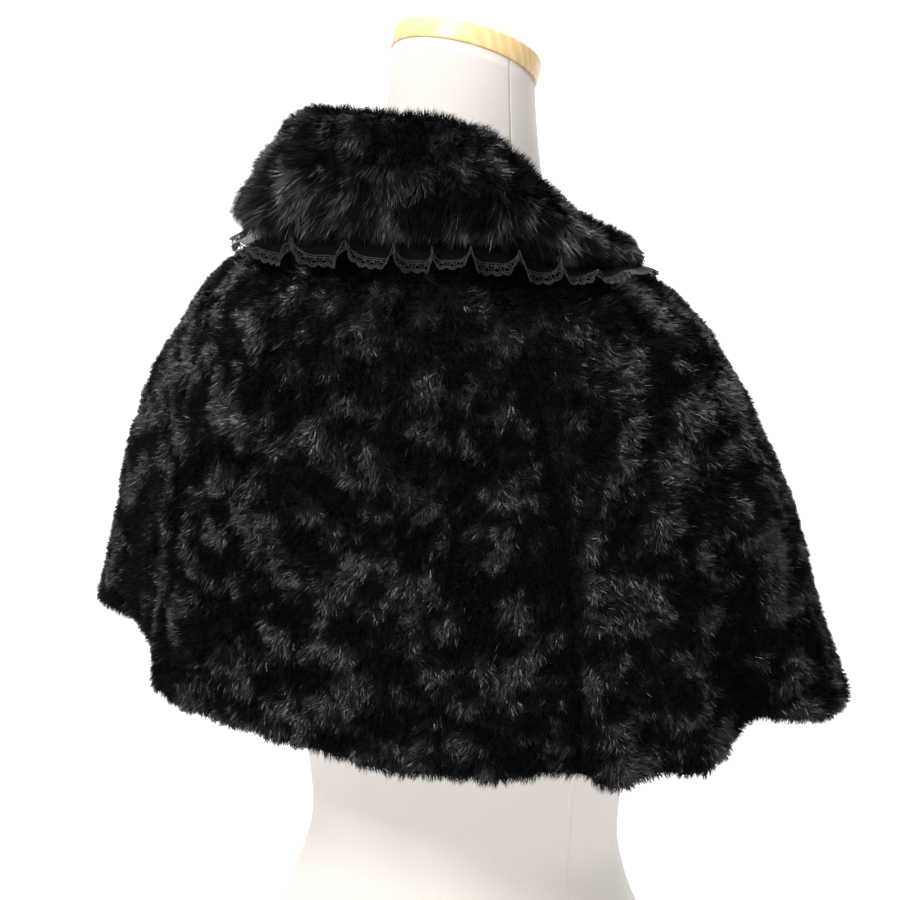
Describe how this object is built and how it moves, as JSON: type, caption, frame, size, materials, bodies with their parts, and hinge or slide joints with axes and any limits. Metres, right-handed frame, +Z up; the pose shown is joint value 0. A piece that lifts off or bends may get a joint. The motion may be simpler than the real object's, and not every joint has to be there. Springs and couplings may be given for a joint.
{
  "type": "fur cape on a dress form",
  "caption": "Short flared faux-fur cape with a turned-down fur collar and a lace-edged net ruffle, worn on a limbless dress form with a wooden neck plate.",
  "frame": {"origin": "middle of the form's flat underside, on what it stands on", "axes": "+Z up the form towards the neck plate, -Y the wearer's front, +X the wearer's left"},
  "size_m": [0.5092, 0.3405, 0.7382],
  "materials": {
    "form_cloth": "plain woven cover, matt",
    "pale_wood": "light varnish",
    "fur_back": "crushed faux-fur pile",
    "fur_front_left": "crushed faux-fur pile",
    "fur_front_right": "crushed faux-fur pile",
    "fur_collar": "crushed faux-fur pile",
    "ruffle_net": "sheer net",
    "lace_edging": "lace"
  },
  "bodies": {
    "root": {"form_torso": "form_cloth", "form_neck_cap": "pale_wood", "cape_back": "fur_back", "cape_front_left": "fur_front_left", "cape_front_right": "fur_front_right", "collar": "fur_collar", "collar_ruffle": "ruffle_net", "ruffle_lace_edge": "lace_edging"}
  },
  "joints": []
}
